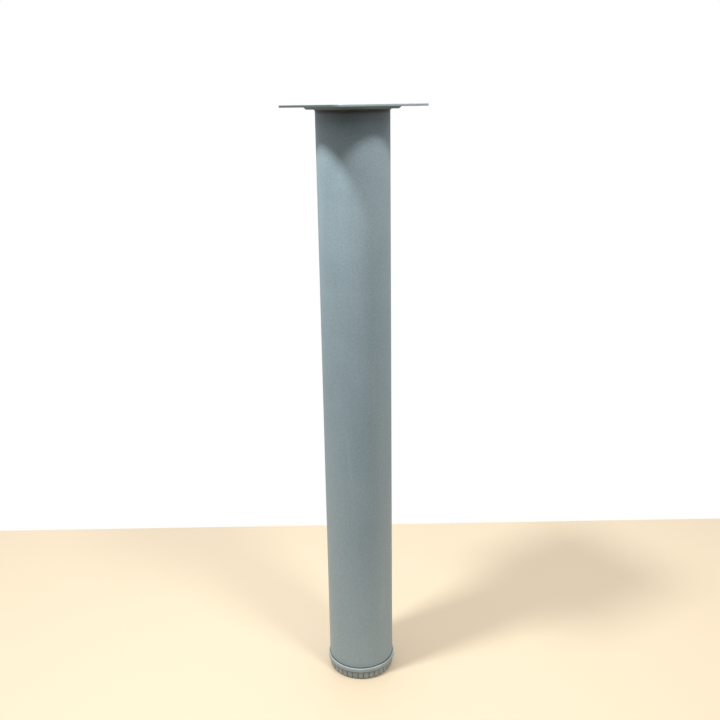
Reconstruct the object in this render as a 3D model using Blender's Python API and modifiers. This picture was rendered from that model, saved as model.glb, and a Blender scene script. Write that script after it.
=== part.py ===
"""Round steel table leg with a mounting plate on top and a screw-in leveling foot below.

The leg stands on Z = 0 with its axis on Z and its foot screwed fully in. The plate's edges run
along X and Y. The foot comes out downwards by FOOT_TRAVEL: the glide pad and its carrier only
slide, while the grip, stud, washer, lock nut and circlip slide and turn about Z.
"""

import math

import bmesh
import bpy
from mathutils import Matrix

MM = 0.001

# Driving dimensions
TUBE_DIAMETER = 80 * MM
TUBE_WALL = 1.5 * MM
TUBE_LENGTH = 669.4 * MM
FOOT_HEIGHT = 15.5 * MM          # floor to the tube's lower end, foot screwed fully in
FOOT_TRAVEL = 20 * MM
PLATE_SIDE = 120 * MM
PLATE_CORNER_RADIUS = 10 * MM
SHEET = 2.5 * MM                 # thickness of the plate's sheet steel
BOSS_DEPTH = 2.3 * MM
THREAD_RADIUS = 5 * MM           # M10
NUT_FLATS = 17 * MM
GAP = 0.3 * MM                   # clearance between pieces that touch on the real leg

# Heights that follow from them
TUBE_TOP = FOOT_HEIGHT + TUBE_LENGTH
BOSS_UNDERSIDE = TUBE_TOP + GAP
PLATE_TOP = BOSS_UNDERSIDE + SHEET + BOSS_DEPTH
TUBE_RADIUS = TUBE_DIAMETER / 2
TUBE_BORE = TUBE_RADIUS - TUBE_WALL

# Mounting plate
BOSS_TOP_RADIUS = 50.8 * MM      # where the sheet starts to dip, on its upper face
BOSS_FLOOR_RADIUS = 48.3 * MM
PLATE_CENTRE_HOLE = 6 * MM       # radius of the hole that the leg hangs by while it is coated
SCREW_HOLE_INSET = 12 * MM       # from the plate's edges to a screw hole
SCREW_HOLE_RADIUS = 3.3 * MM
COUNTERSINK_RADIUS = 5.2 * MM    # at the plate's underside, where the screw's head goes
WELD_LEG = 1.2 * MM

# Tube insert, measured up from its flange's underside
INSERT_FLANGE = 1 * MM
INSERT_BOTTOM = FOOT_HEIGHT - GAP - INSERT_FLANGE
INSERT_HEIGHT = 31.3 * MM
INSERT_FLANGE_RADIUS = TUBE_RADIUS - 0.4 * MM
INSERT_SKIRT_RADIUS = TUBE_BORE - 0.9 * MM
INSERT_SKIRT_WALL = 2 * MM
INSERT_WEB = 2.5 * MM
CRUSH_RIB_COUNT = 12
CRUSH_RIB_RADIUS = 0.55 * MM
STIFFENER_COUNT = 8
STIFFENER_THICKNESS = 2 * MM
STIFFENER_HEIGHT = 19 * MM
HUB_RADIUS = 13.5 * MM
HUB_TOP = 26.8 * MM
HUB_BORE = 5.4 * MM
RECESS_RADIUS = 14 * MM          # room for the lock nut under the hub
RECESS_WALL = 2.4 * MM
RECESS_DEPTH = 8.3 * MM
RETAINER_SEAT_RADIUS = 10.4 * MM
RETAINER_SEAT_DEPTH = 2.1 * MM
NUT_POCKET_DEPTH = 8.6 * MM

# Nuts, washer and rings
NUT_HEIGHT = 8 * MM
LOCK_NUT_HEIGHT = 5 * MM
NUT_BORE = THREAD_RADIUS
STUD_RADIUS = THREAD_RADIUS - 0.4 * MM
RETAINER_RADIUS = 10.05 * MM
RETAINER_BORE = 6 * MM
RETAINER_THICKNESS = 1 * MM
RETAINER_TEETH = 6
WASHER_RADIUS = 10 * MM
WASHER_BORE = 5.3 * MM
WASHER_THICKNESS = 2 * MM
CIRCLIP_RADIUS = 7.4 * MM
CIRCLIP_BORE = 4.62 * MM
CIRCLIP_THICKNESS = 1 * MM
CIRCLIP_MOUTH = 4 * MM
CIRCLIP_GROOVE_RADIUS = 4.3 * MM
CIRCLIP_GROOVE_PLAY = 0.15 * MM
HEAD_HEIGHT = 6.4 * MM
HEAD_BOTTOM = 4.9 * MM
STUD_TIP = 3 * MM                # stud above the circlip

# Foot
GRIP_BOTTOM = 1 * MM
GRIP_TOP = 13.7 * MM
RIM_TOP = 16 * MM                # the rim stands round the tube's lower end
RIM_BORE = TUBE_RADIUS + 0.5 * MM
LIP_RADIUS = 41.8 * MM
BAND_TOP_RADIUS = 40.5 * MM
BAND_FOOT_RADIUS = 39.9 * MM
GRIP_WALL_BORE = 36 * MM
FLUTE_COUNT = 36
FLUTE_WIDTH = 1.5 * MM
FLUTE_DEPTH = 1.3 * MM
FLUTE_TOP = 9.4 * MM
CARRIER_RADIUS = 35.4 * MM
CARRIER_BOTTOM = 2.5 * MM
CARRIER_THICKNESS = 1.5 * MM
PAD_RADIUS = 35 * MM
PAD_THICKNESS = 2.2 * MM

# Facets round a full turn
LARGE_STEPS = 64
MEDIUM_STEPS = 48
SMALL_STEPS = 24
CORNER_STEPS = 6
MERGE_DISTANCE = 0.00001
SHARP_ANGLE = math.radians(30)


def clear_scene():
    for obj in list(bpy.data.objects):
        bpy.data.objects.remove(obj, do_unlink=True)


def make_collection(name):
    collection = bpy.data.collections.new(name)
    bpy.context.scene.collection.children.link(collection)
    return collection


def make_material(name, colour, roughness, metallic):
    material = bpy.data.materials.new(name)
    material.use_nodes = True
    shader = material.node_tree.nodes["Principled BSDF"]
    shader.inputs["Base Color"].default_value = (*colour, 1)
    shader.inputs["Roughness"].default_value = roughness
    shader.inputs["Metallic"].default_value = metallic
    return material


def make_empty(name, collection, parent=None):
    empty = bpy.data.objects.new(name, None)
    empty.empty_display_size = TUBE_DIAMETER
    empty.parent = parent
    collection.objects.link(empty)
    return empty


def make_object(name, mesh, z, collection, material=None, parent=None):
    obj = bpy.data.objects.new(name, mesh)
    obj.location.z = z
    obj.parent = parent
    if material:
        mesh.materials.append(material)
    collection.objects.link(obj)
    return obj


def shade(obj):
    obj.data.shade_smooth()
    obj.data.set_sharp_from_angle(angle=SHARP_ANGLE)


def add_screw(obj, steps):
    screw = obj.modifiers.new("turn", "SCREW")
    screw.axis = "Z"
    screw.angle = math.tau
    screw.steps = steps
    screw.render_steps = steps
    screw.use_merge_vertices = True
    screw.merge_threshold = MERGE_DISTANCE
    screw.use_smooth_shade = True


def add_boolean(obj, tool, operation):
    boolean = obj.modifiers.new(operation.lower(), "BOOLEAN")
    boolean.operation = operation
    boolean.solver = "EXACT"
    boolean.object = tool
    tool.hide_render = True
    tool.display_type = "WIRE"


def profile_mesh(name, points, closed):
    """Outline of a turned piece as (radius, height) points, outer side running down."""
    mesh = bpy.data.meshes.new(name)
    count = len(points)
    edges = [(i, i + 1) for i in range(count - 1)]
    if closed:
        edges.append((count - 1, 0))
    mesh.from_pydata([(radius, 0, height) for radius, height in points], edges, [])
    return mesh


def turned(name, points, steps, z, collection, material=None, parent=None):
    """Turn an outline about Z. It is closed unless it starts and ends on the axis."""
    closed = points[0][0] > 0
    mesh = profile_mesh(name, points, closed)
    obj = make_object(name, mesh, z, collection, material, parent)
    add_screw(obj, steps)
    return obj


def ring_outline(inner, outer, height, chamfer=0.0):
    """Washer section: a rectangle with its outer edges chamfered."""
    points = [(inner, height), (outer - chamfer, height)]
    if chamfer:
        points += [(outer, height - chamfer), (outer, chamfer)]
    else:
        points += [(outer, height), (outer, 0)]
    points += [(outer - chamfer, 0), (inner, 0)] if chamfer else [(inner, 0)]
    return points


def hexagon(name, flats, height, z, collection, material=None, parent=None):
    """Hexagonal prism standing on z, with two flats facing +Y and -Y."""
    mesh = bpy.data.meshes.new(name)
    bm = bmesh.new()
    corner = flats / math.sqrt(3)
    lift = Matrix.Translation((0, 0, height / 2))
    bmesh.ops.create_cone(bm, cap_ends=True, segments=6, radius1=corner, radius2=corner,
                          depth=height, matrix=lift)
    turn = Matrix.Rotation(math.radians(30), 3, "Z")
    bmesh.ops.rotate(bm, matrix=turn, verts=bm.verts)
    bm.to_mesh(mesh)
    bm.free()
    return make_object(name, mesh, z, collection, material, parent)


def around(name, count, make_one, z, collection):
    """One mesh of count separate copies round Z; make_one(bm, turn) adds a copy."""
    mesh = bpy.data.meshes.new(name)
    bm = bmesh.new()
    for i in range(count):
        make_one(bm, Matrix.Rotation(math.tau * i / count, 4, "Z"))
    bm.to_mesh(mesh)
    bm.free()
    return make_object(name, mesh, z, collection)


def add_box(bm, turn, low, high):
    size = [h - l for l, h in zip(low, high)]
    centre = [(l + h) / 2 for l, h in zip(low, high)]
    place = turn @ Matrix.Translation(centre) @ Matrix.Diagonal((*size, 1))
    bmesh.ops.create_cube(bm, size=1, matrix=place)


def add_pin(bm, turn, distance, radius, low, high, segments):
    """Upright round pin at a distance from Z."""
    place = turn @ Matrix.Translation((distance, 0, (low + high) / 2))
    bmesh.ops.create_cone(bm, cap_ends=True, segments=segments, radius1=radius, radius2=radius,
                          depth=high - low, matrix=place)


# Mounting plate


def rounded_square(bm, side, radius):
    """Edges of a square outline with rounded corners, on Z = 0."""
    centre = side / 2 - radius
    verts = []
    for quarter in range(4):
        middle = math.radians(45 + 90 * quarter)
        cx = centre * math.copysign(1, math.cos(middle))
        cy = centre * math.copysign(1, math.sin(middle))
        for step in range(CORNER_STEPS + 1):
            angle = middle + math.radians(90) * (step / CORNER_STEPS - 0.5)
            verts.append(bm.verts.new((cx + radius * math.cos(angle),
                                       cy + radius * math.sin(angle), 0)))
    return link_loop(bm, verts)


def circle(bm, radius, steps):
    verts = []
    for i in range(steps):
        angle = math.tau * i / steps
        verts.append(bm.verts.new((radius * math.cos(angle), radius * math.sin(angle), 0)))
    return link_loop(bm, verts)


def link_loop(bm, verts):
    return [bm.edges.new((verts[i - 1], verts[i])) for i in range(len(verts))]


def press_down(bm, loop, rings):
    """Extrude a round edge loop inwards through rings of (radius, height)."""
    for radius, height in rings:
        result = bmesh.ops.extrude_edge_only(bm, edges=loop)["geom"]
        loop = [item for item in result if isinstance(item, bmesh.types.BMEdge)]
        for vert in {vert for edge in loop for vert in edge.verts}:
            scale = radius / math.hypot(vert.co.x, vert.co.y)
            vert.co.x *= scale
            vert.co.y *= scale
            vert.co.z = height


def screw_hole(x, y, tools):
    """Cutter for a countersunk hole; its wide end is at the plate's underside."""
    over = 1 * MM
    sink = COUNTERSINK_RADIUS - SCREW_HOLE_RADIUS
    outline = [(0, over), (SCREW_HOLE_RADIUS, over), (SCREW_HOLE_RADIUS, sink - SHEET),
               (COUNTERSINK_RADIUS + over, -SHEET - over), (0, -SHEET - over)]
    tool = turned("screw_hole_tool", outline, SMALL_STEPS, PLATE_TOP, tools)
    tool.location.x = x
    tool.location.y = y
    return tool


def build_mounting_plate(parts, tools, material, parent):
    """Stamped sheet: its upper face is drawn, and the thickness goes down from it."""
    mesh = bpy.data.meshes.new("mounting_plate")
    bm = bmesh.new()
    outline = rounded_square(bm, PLATE_SIDE, PLATE_CORNER_RADIUS)
    boss = circle(bm, BOSS_TOP_RADIUS, LARGE_STEPS)
    bmesh.ops.triangle_fill(bm, edges=outline + boss, use_beauty=True)
    press_down(bm, boss, [(BOSS_FLOOR_RADIUS, -BOSS_DEPTH), (PLATE_CENTRE_HOLE, -BOSS_DEPTH)])
    bmesh.ops.recalc_face_normals(bm, faces=bm.faces)
    if bm.faces[0].normal.z < 0:
        bmesh.ops.reverse_faces(bm, faces=bm.faces)
    bm.to_mesh(mesh)
    bm.free()
    plate = make_object("mounting_plate", mesh, PLATE_TOP, parts, material, parent)
    solidify = plate.modifiers.new("sheet", "SOLIDIFY")
    solidify.thickness = SHEET
    solidify.offset = -1
    solidify.use_even_offset = True
    reach = PLATE_SIDE / 2 - SCREW_HOLE_INSET
    for x in (-reach, reach):
        for y in (-reach, reach):
            add_boolean(plate, screw_hole(x, y, tools), "DIFFERENCE")
    shade(plate)


def build_plate_weld(parts, material, parent):
    """Fillet between the tube and the boss, a little hollow on its face."""
    inner = TUBE_RADIUS + GAP
    face = 0.42 * WELD_LEG
    points = [(inner, 0), (inner + WELD_LEG, 0), (inner + face, -face), (inner, -WELD_LEG)]
    turned("plate_weld", points, LARGE_STEPS, BOSS_UNDERSIDE - GAP, parts, material, parent)


# Tube and what is fixed in it


def build_leg_tube(parts, material, parent):
    points = [(TUBE_BORE, TUBE_LENGTH), (TUBE_RADIUS, TUBE_LENGTH), (TUBE_RADIUS, 0), (TUBE_BORE, 0)]
    turned("leg_tube", points, LARGE_STEPS, FOOT_HEIGHT, parts, material, parent)


def insert_outline():
    skirt_bore = INSERT_SKIRT_RADIUS - INSERT_SKIRT_WALL
    recess_outer = RECESS_RADIUS + RECESS_WALL
    recess_roof = RECESS_DEPTH + INSERT_WEB
    seat_top = RECESS_DEPTH + RETAINER_SEAT_DEPTH
    lead = 0.8 * MM
    return [
        (HUB_BORE, HUB_TOP),
        (HUB_RADIUS - lead, HUB_TOP),
        (HUB_RADIUS, HUB_TOP - lead),
        (HUB_RADIUS, recess_roof),
        (recess_outer, recess_roof),
        (recess_outer, INSERT_WEB),
        (skirt_bore, INSERT_WEB),
        (skirt_bore, INSERT_HEIGHT),
        (INSERT_SKIRT_RADIUS - lead, INSERT_HEIGHT),
        (INSERT_SKIRT_RADIUS, INSERT_HEIGHT - 2 * lead),
        (INSERT_SKIRT_RADIUS, INSERT_FLANGE),
        (INSERT_FLANGE_RADIUS, INSERT_FLANGE),
        (INSERT_FLANGE_RADIUS, 0),
        (RECESS_RADIUS, 0),
        (RECESS_RADIUS, RECESS_DEPTH),
        (RETAINER_SEAT_RADIUS, RECESS_DEPTH),
        (RETAINER_SEAT_RADIUS, seat_top),
        (HUB_BORE, seat_top),
    ]


def build_tube_insert(parts, tools, material, parent):
    """Plug with a skirt, a web, a hub for the nut, stiffeners and crush ribs."""
    insert = turned("tube_insert", insert_outline(), LARGE_STEPS, INSERT_BOTTOM, parts,
                    material, parent)
    skirt_middle = INSERT_SKIRT_RADIUS - INSERT_SKIRT_WALL / 2
    half = STIFFENER_THICKNESS / 2
    sunk = 0.5 * MM
    low = (HUB_RADIUS - sunk, -half, INSERT_WEB - sunk)
    high = (skirt_middle, half, STIFFENER_HEIGHT)

    def stiffener(bm, turn):
        add_box(bm, turn, low, high)

    def crush_rib(bm, turn):
        half_pitch = Matrix.Rotation(math.pi / CRUSH_RIB_COUNT, 4, "Z")
        add_pin(bm, half_pitch @ turn, INSERT_SKIRT_RADIUS, CRUSH_RIB_RADIUS,
                2 * INSERT_FLANGE, INSERT_HEIGHT - 3 * MM, 8)

    stiffeners = around("stiffeners_tool", STIFFENER_COUNT, stiffener, INSERT_BOTTOM, tools)
    crush_ribs = around("crush_ribs_tool", CRUSH_RIB_COUNT, crush_rib, INSERT_BOTTOM, tools)
    pocket_bottom = INSERT_BOTTOM + RECESS_DEPTH + RETAINER_SEAT_DEPTH
    overlap = 1 * MM
    pocket = hexagon("nut_pocket_tool", NUT_FLATS + 2 * GAP, NUT_POCKET_DEPTH + overlap,
                     pocket_bottom - overlap, tools)
    add_boolean(insert, stiffeners, "UNION")
    add_boolean(insert, crush_ribs, "UNION")
    add_boolean(insert, pocket, "DIFFERENCE")


def build_nut(name, height, z, parts, tools, material, parent):
    """Hex nut: a prism with both ends turned down at 30 degrees and a countersunk bore."""
    nut = hexagon(name, NUT_FLATS, height, z, parts, material, parent)
    corner = NUT_FLATS / math.sqrt(3) + 0.1 * MM
    face = 0.48 * NUT_FLATS
    drop = (corner - face) * math.tan(math.radians(30))
    barrel_outline = [(0, height), (face, height), (corner, height - drop), (corner, drop),
                      (face, 0), (0, 0)]
    barrel = turned(name + "_barrel_tool", barrel_outline, SMALL_STEPS, z, tools)
    flare = 0.8 * MM
    over = 0.5 * MM
    bore_outline = [(0, height + over), (NUT_BORE + flare + over, height + over),
                    (NUT_BORE, height - flare), (NUT_BORE, flare),
                    (NUT_BORE + flare + over, -over), (0, -over)]
    bore = turned(name + "_bore_tool", bore_outline, SMALL_STEPS, z, tools)
    add_boolean(nut, barrel, "INTERSECT")
    add_boolean(nut, bore, "DIFFERENCE")


def build_nut_retainer(parts, tools, material, parent):
    """Push-in ring whose inner edge is notched into spring teeth."""
    z = INSERT_BOTTOM + RECESS_DEPTH + 0.7 * MM
    outline = ring_outline(RETAINER_BORE, RETAINER_RADIUS, RETAINER_THICKNESS)
    ring = turned("nut_retainer", outline, MEDIUM_STEPS, z, parts, material, parent)
    tooth_root = 8.2 * MM
    half = 0.6 * MM

    def notch(bm, turn):
        add_box(bm, turn, (RETAINER_BORE / 2, -half, -RETAINER_THICKNESS),
                (tooth_root, half, 2 * RETAINER_THICKNESS))

    notches = around("retainer_notches_tool", RETAINER_TEETH, notch, z, tools)
    add_boolean(ring, notches, "DIFFERENCE")


# Leveling foot: what turns


def circlip_bottom():
    """Height at which the circlip meets the hub when the foot is fully out."""
    return INSERT_BOTTOM + HUB_TOP + FOOT_TRAVEL + GAP


def build_leveling_stud(parts, tools, material, parent):
    """Hex head in the grip's pocket, shank up through the nuts, groove for the circlip."""
    clip = circlip_bottom() - HEAD_BOTTOM
    groove_low = clip - CIRCLIP_GROOVE_PLAY
    groove_high = clip + CIRCLIP_THICKNESS + CIRCLIP_GROOVE_PLAY
    top = groove_high + STUD_TIP
    chamfer = 0.8 * MM
    start = HEAD_HEIGHT / 2
    shank_outline = [
        (0, top), (STUD_RADIUS - chamfer, top), (STUD_RADIUS, top - chamfer),
        (STUD_RADIUS, groove_high), (CIRCLIP_GROOVE_RADIUS, groove_high),
        (CIRCLIP_GROOVE_RADIUS, groove_low), (STUD_RADIUS, groove_low),
        (STUD_RADIUS, start), (0, start),
    ]
    shank = turned("stud_shank_tool", shank_outline, SMALL_STEPS, HEAD_BOTTOM, tools)
    stud = hexagon("leveling_stud", NUT_FLATS, HEAD_HEIGHT, HEAD_BOTTOM, parts, material, parent)
    corner = NUT_FLATS / math.sqrt(3) + 0.1 * MM
    face = 0.48 * NUT_FLATS
    drop = (corner - face) * math.tan(math.radians(30))
    barrel_outline = [(0, HEAD_HEIGHT), (corner, HEAD_HEIGHT), (corner, drop), (face, 0), (0, 0)]
    barrel = turned("stud_head_tool", barrel_outline, SMALL_STEPS, HEAD_BOTTOM, tools)
    add_boolean(stud, barrel, "INTERSECT")
    add_boolean(stud, shank, "UNION")


def build_stud_circlip(parts, tools, material, parent):
    outline = ring_outline(CIRCLIP_BORE, CIRCLIP_RADIUS, CIRCLIP_THICKNESS)
    ring = turned("stud_circlip", outline, SMALL_STEPS, circlip_bottom(), parts, material, parent)
    half = CIRCLIP_MOUTH / 2

    def mouth(bm, turn):
        add_box(bm, turn, (0, -half, -CIRCLIP_THICKNESS), (2 * CIRCLIP_RADIUS, half, 2 * MM))

    opening = around("circlip_mouth_tool", 1, mouth, circlip_bottom(), tools)
    add_boolean(ring, opening, "DIFFERENCE")


def build_stud_washer(parts, material, parent):
    outline = ring_outline(WASHER_BORE, WASHER_RADIUS, WASHER_THICKNESS, 0.3 * MM)
    turned("stud_washer", outline, MEDIUM_STEPS, GRIP_TOP + GAP, parts, material, parent)


def lip_arc(steps=4):
    """Rounded outer edge of the grip's rim, from its top down to its widest point."""
    radius_across = 0.9 * MM
    radius_down = 1.2 * MM
    points = []
    for i in range(steps + 1):
        angle = math.radians(90) * (1 - i / steps)
        points.append((LIP_RADIUS - radius_across * (1 - math.cos(angle)),
                       RIM_TOP - radius_down * (1 - math.sin(angle))))
    return points


def grip_outline():
    """Moulded shell: hub and rim on top, two snap collars and a skirt below."""
    deck_top = GRIP_TOP - 0.8 * MM
    deck_underside = 11.2 * MM
    collar_bottom = 4.4 * MM
    hub = 13 * MM
    lip_bottom = 10.6 * MM
    groove = 0.4 * MM
    return [
        (WASHER_BORE, GRIP_TOP),
        (hub, GRIP_TOP),
        (hub + groove, deck_top),
        (37 * MM, deck_top),
        (37.6 * MM, GRIP_TOP),
        (RIM_BORE, GRIP_TOP),
        (RIM_BORE, RIM_TOP),
        *lip_arc(),
        (LIP_RADIUS, lip_bottom),
        (BAND_TOP_RADIUS - groove, lip_bottom - groove),
        (BAND_TOP_RADIUS, lip_bottom - 3 * groove),
        (BAND_FOOT_RADIUS, GRIP_BOTTOM + groove),
        (BAND_FOOT_RADIUS - groove, GRIP_BOTTOM),
        (GRIP_WALL_BORE, GRIP_BOTTOM),
        (GRIP_WALL_BORE, deck_underside),
        (28.2 * MM, deck_underside),
        (28.2 * MM, collar_bottom),
        (25.1 * MM, collar_bottom),
        (25.1 * MM, 6.2 * MM),
        (26 * MM, 6.8 * MM),
        (26 * MM, 9 * MM),
        (21.4 * MM, 9 * MM),
        (21.4 * MM, collar_bottom),
        (18.6 * MM, collar_bottom),
        (18.6 * MM, deck_underside),
        (hub, deck_underside),
        (hub, collar_bottom),
        (WASHER_BORE, collar_bottom),
    ]


def build_foot_grip(parts, tools, material, parent):
    """Ribbed foot: flutes round its band, and a hex pocket for the stud's head."""
    grip = turned("foot_grip", grip_outline(), LARGE_STEPS, 0, parts, material, parent)
    half = FLUTE_WIDTH / 2
    low = (BAND_FOOT_RADIUS - FLUTE_DEPTH, -half, 0)
    high = (LIP_RADIUS, half, FLUTE_TOP)

    def flute(bm, turn):
        add_box(bm, turn, low, high)

    flutes = around("flutes_tool", FLUTE_COUNT, flute, 0, tools)
    pocket_bottom = 3 * MM
    pocket_top = HEAD_BOTTOM + HEAD_HEIGHT + GAP
    pocket = hexagon("head_pocket_tool", NUT_FLATS + 2 * GAP, pocket_top - pocket_bottom,
                     pocket_bottom, tools)
    add_boolean(grip, flutes, "DIFFERENCE")
    add_boolean(grip, pocket, "DIFFERENCE")


# Leveling foot: what only slides


def build_pad_carrier(parts, material, parent):
    """Disc with a hooked ring that snaps in behind the grip's outer collar."""
    hook_bore = 22 * MM
    hook_outer = 24.6 * MM
    barb = 25.6 * MM
    shift = -CARRIER_BOTTOM
    points = [
        (0, CARRIER_THICKNESS),
        (hook_bore, CARRIER_THICKNESS),
        (hook_bore, 8.5 * MM + shift),
        (hook_outer - 0.4 * MM, 8.5 * MM + shift),
        (barb, 7.8 * MM + shift),
        (barb, 7.2 * MM + shift),
        (hook_outer, 6.6 * MM + shift),
        (hook_outer, CARRIER_THICKNESS),
        (CARRIER_RADIUS, CARRIER_THICKNESS),
        (CARRIER_RADIUS, 0),
        (0, 0),
    ]
    turned("pad_carrier", points, MEDIUM_STEPS, CARRIER_BOTTOM, parts, material, parent)


def build_glide_pad(parts, material, parent):
    edge = 0.5 * MM
    points = [(0, PAD_THICKNESS), (PAD_RADIUS, PAD_THICKNESS), (PAD_RADIUS, edge),
              (PAD_RADIUS - edge, 0), (0, 0)]
    turned("glide_pad", points, MEDIUM_STEPS, 0, parts, material, parent)


def main():
    clear_scene()
    parts = make_collection("adjustable_table_leg")
    tools = make_collection("tools")

    coat = make_material("grey_powder_coat", (0.27, 0.30, 0.31), 0.5, 0.3)
    foot_plastic = make_material("grey_plastic", (0.23, 0.26, 0.26), 0.45, 0)
    black_plastic = make_material("black_plastic", (0.02, 0.022, 0.025), 0.5, 0)
    zinc = make_material("zinc_plate", (0.62, 0.63, 0.65), 0.32, 1)
    spring_steel = make_material("spring_steel", (0.12, 0.12, 0.13), 0.4, 1)
    rubber = make_material("pad_rubber", (0.05, 0.05, 0.05), 0.8, 0)

    leg = make_empty("leg", parts)
    glide = make_empty("glide", parts, leg)
    foot = make_empty("foot", parts, glide)

    build_mounting_plate(parts, tools, coat, leg)
    build_plate_weld(parts, coat, leg)
    build_leg_tube(parts, coat, leg)
    build_tube_insert(parts, tools, black_plastic, leg)
    nut_z = INSERT_BOTTOM + RECESS_DEPTH + RETAINER_SEAT_DEPTH + GAP
    build_nut("insert_nut", NUT_HEIGHT, nut_z, parts, tools, zinc, leg)
    build_nut_retainer(parts, tools, spring_steel, leg)

    build_glide_pad(parts, rubber, glide)
    build_pad_carrier(parts, black_plastic, glide)

    build_leveling_stud(parts, tools, zinc, foot)
    build_stud_circlip(parts, tools, spring_steel, foot)
    build_stud_washer(parts, zinc, foot)
    lock_nut_z = GRIP_TOP + WASHER_THICKNESS + 2 * GAP
    build_nut("stud_lock_nut", LOCK_NUT_HEIGHT, lock_nut_z, parts, tools, zinc, foot)
    build_foot_grip(parts, tools, foot_plastic, foot)


main()
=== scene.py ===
"""Looks for a powder-coated steel table leg with a mounting plate and a screw-in leveling foot.

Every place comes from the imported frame. Sizes are in metres. Turned pieces are swept round Z
from rounded outlines, and the plate is built from edge loops.
"""

import math

import bmesh
import bpy
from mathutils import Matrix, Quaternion, Vector, noise


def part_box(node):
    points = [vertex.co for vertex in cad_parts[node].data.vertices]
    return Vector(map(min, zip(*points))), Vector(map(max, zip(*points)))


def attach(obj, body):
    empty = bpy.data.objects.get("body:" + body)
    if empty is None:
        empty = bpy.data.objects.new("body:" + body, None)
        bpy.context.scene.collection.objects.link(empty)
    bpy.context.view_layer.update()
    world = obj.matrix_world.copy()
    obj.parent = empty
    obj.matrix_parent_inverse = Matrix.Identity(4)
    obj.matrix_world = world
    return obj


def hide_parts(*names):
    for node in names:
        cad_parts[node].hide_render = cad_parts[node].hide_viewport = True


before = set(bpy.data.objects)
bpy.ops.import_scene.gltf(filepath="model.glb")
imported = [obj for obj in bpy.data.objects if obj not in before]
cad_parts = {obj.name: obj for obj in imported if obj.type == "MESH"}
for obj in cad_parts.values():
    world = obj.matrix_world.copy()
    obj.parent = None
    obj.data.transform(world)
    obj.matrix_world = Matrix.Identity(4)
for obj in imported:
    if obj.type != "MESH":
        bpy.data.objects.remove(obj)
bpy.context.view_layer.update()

MM = 0.001
TAU = math.tau

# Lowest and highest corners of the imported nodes
PLATE_LOW, PLATE_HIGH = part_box("mounting_plate")
TUBE_LOW, TUBE_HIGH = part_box("leg_tube")
GRIP_LOW, GRIP_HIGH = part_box("foot_grip")
WASHER_LOW, WASHER_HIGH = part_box("stud_washer")
NUT_LOW, NUT_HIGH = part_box("stud_lock_nut")
STUD_LOW, STUD_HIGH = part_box("leveling_stud")

# Segments round a full turn
FINE = 256
MEDIUM = 144
COARSE = 72

SHARP_ANGLE = math.radians(38)
EASED_ANGLE = math.radians(35)
ON_AXIS = 1e-7
LONGEST_FILLET = 0.49            # share of a side that a fillet may take

# Mounting plate: a sheet with a round dish pressed down in its middle, and screw holes
PLATE_TOP = PLATE_HIGH.z
PLATE_SIDE = PLATE_HIGH.x - PLATE_LOW.x
PLATE_CORNER = 10 * MM
PLATE_EDGE_ROUND = 0.45 * MM
PLATE_CENTRE_HOLE = 6 * MM
SHEET = 2.5 * MM
BOSS_UNDERSIDE = PLATE_LOW.z
BOSS_DEPTH = PLATE_TOP - BOSS_UNDERSIDE - SHEET
DISH_RADIUS = 50.8 * MM          # at the upper face
BOSS_RADIUS = 52.0 * MM          # at the lower face
PRESS_SLOPE = 2.5 * MM           # how far the pressed wall leans inwards
PRESS_BEND = 1.2 * MM
SCREW_REACH = PLATE_SIDE / 2 - 12 * MM
SCREW_HOLE = 3.3 * MM
COUNTERSINK = 5.2 * MM
FLAT_RIM = 0.6 * MM              # narrow faces that keep the wear close to an edge
CORNER_STEPS = 16
BOSS_STEPS = 192
HOLE_STEPS = 64

# Tube and weld
TUBE_RADIUS = TUBE_HIGH.x
TUBE_BORE = TUBE_RADIUS - 1.5 * MM
TUBE_ROWS = 60
WELD_RIPPLES = 130

# Foot
FLUTES = 36
STEPS_PER_FLUTE = 20
FLUTE_DEPTH = 1.3 * MM
FLUTE_HALF_WIDTH = 0.85 * MM
FLUTE_TOP = 9.6 * MM
FLUTE_FADE = 1.6 * MM            # height over which a flute runs out
LIP_UNDERSIDE = 10.7 * MM
CLEARANCE_HOLE = 5.3 * MM
TOUCH_GAP = 0.3 * MM             # between pieces that touch on the real leg

# Glide pad
PAD_RINGS = 5
RING_SPACING = 5 * MM
RING_WIDTH = 1.2 * MM

# Stud and its lock nut: the stud's head is as wide as the nut
PITCH = 1.5 * MM
THREAD_DEPTH = 0.85 * MM
THREAD_FLANK = 1.25              # over 1 leaves the crest and the root flat
STEPS_PER_PITCH = 8
STUD_CREST = 4.9 * MM
STUD_HEAD = 6.4 * MM
NUT_FLATS = NUT_HIGH.y - NUT_LOW.y
NUT_CORNER = NUT_FLATS / math.sqrt(3)
NUT_FACE = 0.48 * NUT_FLATS      # radius of the flat that the turned ends leave
POCKET_FLATS = NUT_FLATS + 2 * TOUCH_GAP
POCKET_TOP = STUD_LOW.z + STUD_HEAD + TOUCH_GAP

# Light: lamps are placed by left, front and height, as the camera sees the leg. The ranges are
# parts of a unit direction.
SKY_LIGHT = 1.6
HORIZON_LIGHT = 0.05
SKY_COLOUR = (0.97, 0.99, 1.0)
SKY_RANGE = (0.02, 0.45)         # upwards, from the horizon's light to the full sky's
WALL_LIGHT = 0.45
WALL_RANGE = (-0.25, 0.7)        # backwards, from none to the full wall's
KEY_PLACE = (0.36, 0.215, 1.44)
KEY_SIZE = 0.13
KEY_POWER = 29
KEY_COLOUR = (0.90, 0.97, 1.0)
FILL_PLACE = (-0.29, 0.35, 1.32)
FILL_SIZE = 0.16
FILL_POWER = 11.5
FILL_COLOUR = (0.97, 1.0, 0.98)
LAMP_TARGET = (0, 0, 0.4)

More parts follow.
